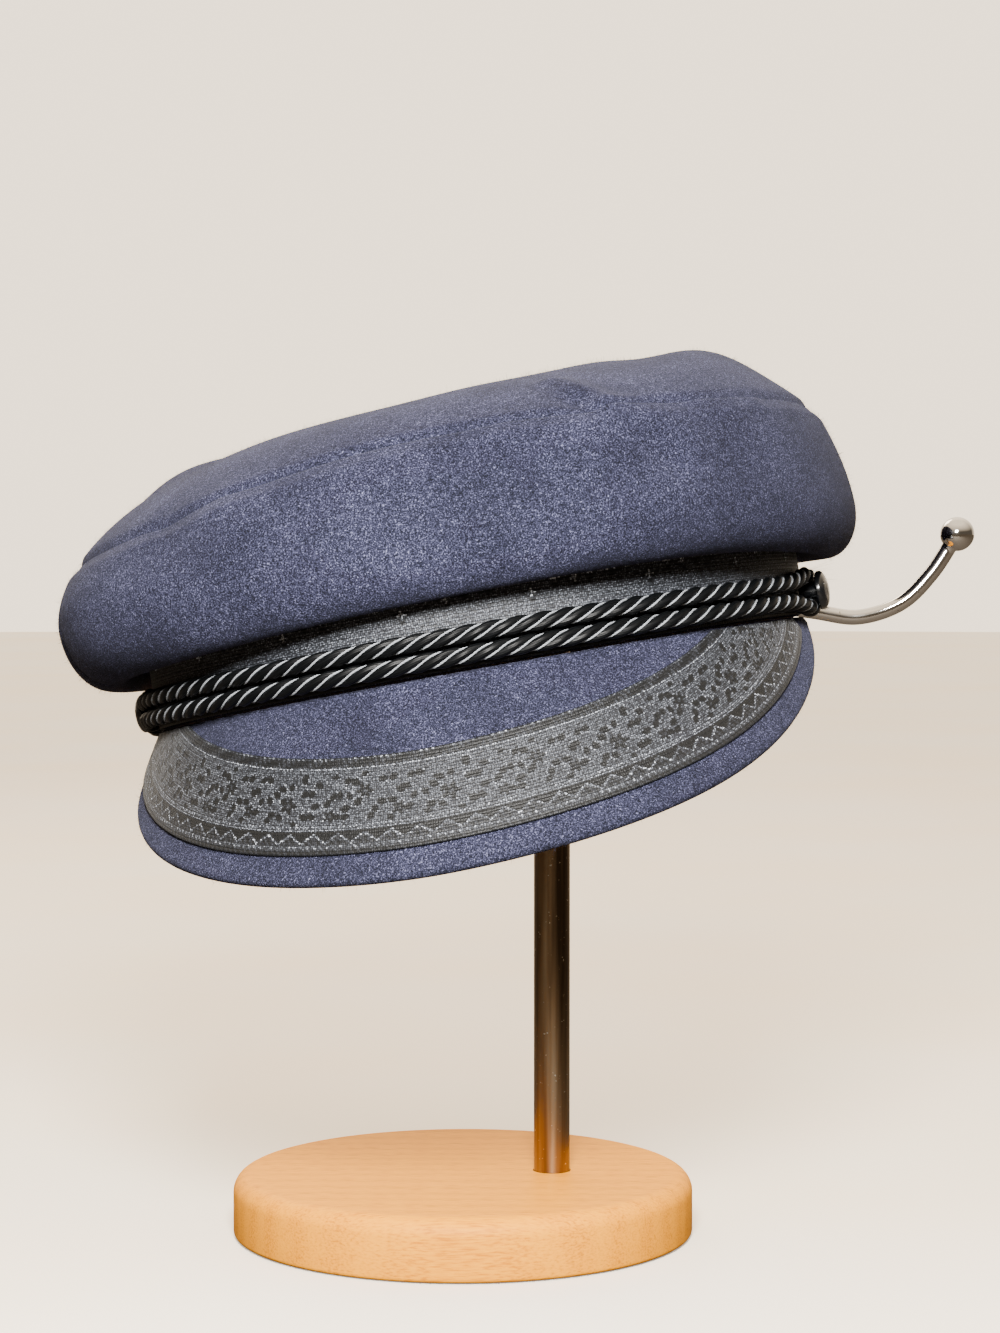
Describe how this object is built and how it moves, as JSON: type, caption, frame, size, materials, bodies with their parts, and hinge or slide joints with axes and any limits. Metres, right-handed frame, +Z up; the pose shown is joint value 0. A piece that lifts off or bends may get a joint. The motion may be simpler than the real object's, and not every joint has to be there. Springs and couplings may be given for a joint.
{
  "type": "sailor cap on a stand",
  "caption": "Navy wool sailor cap with brocade ribbon on band and peak and a twisted trim cord, hanging tilted on a plain wood and chrome stand.",
  "frame": {"origin": "centre of the wooden base's underside", "axes": "+Z up along the post, the stand's arms along X, the cap's peak towards -Y and a little towards -X"},
  "size_m": [0.2551, 0.2537, 0.2465],
  "materials": {
    "varnished_wood": "clear varnish",
    "chrome": "polished",
    "navy_wool": "brushed heathered wool",
    "brocade": "grey satin figure on a charcoal ground",
    "black_rayon": "shiny twisted cord with a light grey thread",
    "button_plastic": "gloss"
  },
  "bodies": {
    "root": {"stand_base": "varnished_wood", "stand_post": "chrome", "crown_top": "navy_wool", "crown_front": "navy_wool", "crown_back": "navy_wool", "head_band": "navy_wool", "band_ribbon": "brocade", "peak": "navy_wool", "peak_ribbon": "brocade", "trim_cord": "black_rayon", "button_left": "button_plastic", "button_right": "button_plastic"}
  },
  "joints": []
}
